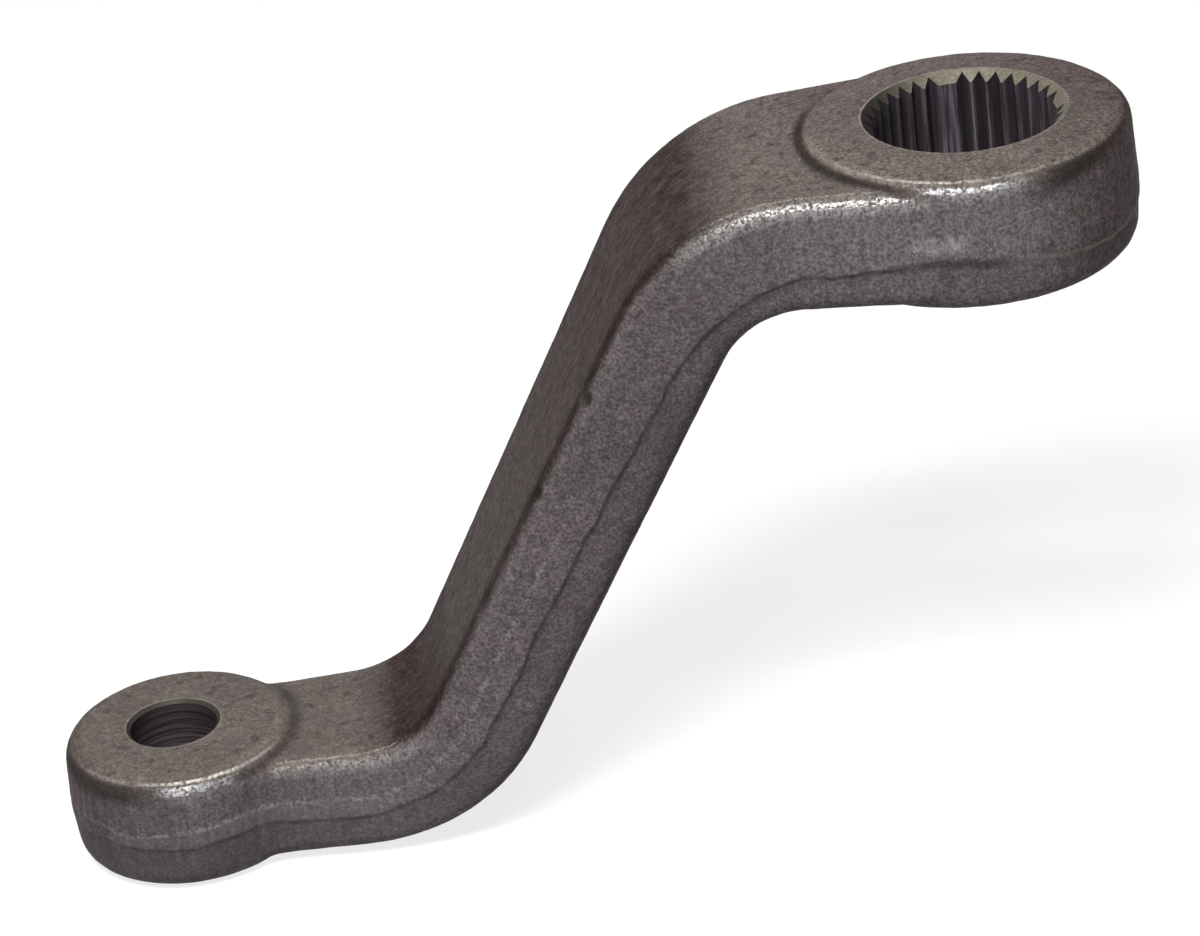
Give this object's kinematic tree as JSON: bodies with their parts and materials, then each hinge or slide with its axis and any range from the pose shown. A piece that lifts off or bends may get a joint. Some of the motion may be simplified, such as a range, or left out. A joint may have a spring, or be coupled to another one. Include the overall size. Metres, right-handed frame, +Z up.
{
  "type": "pitman arm",
  "caption": "Drop-forged steel pitman arm with an S-bent shank, a splined boss with blind lands at one end and a tapered stud hole at the other.",
  "frame": {"origin": "on the axis of the splined bore, at the height of the big boss's parting line", "axes": "+Z up along the splined bore, towards the gearbox; the shank runs down towards -X; +Y completes the frame"},
  "size_m": [0.1863, 0.0544, 0.1153],
  "materials": {
    "forged_steel": "as-forged steel with a thin dark scale, lightly burnished on its edges"
  },
  "bodies": {
    "root": {"pitman_arm": "forged_steel"}
  },
  "joints": []
}
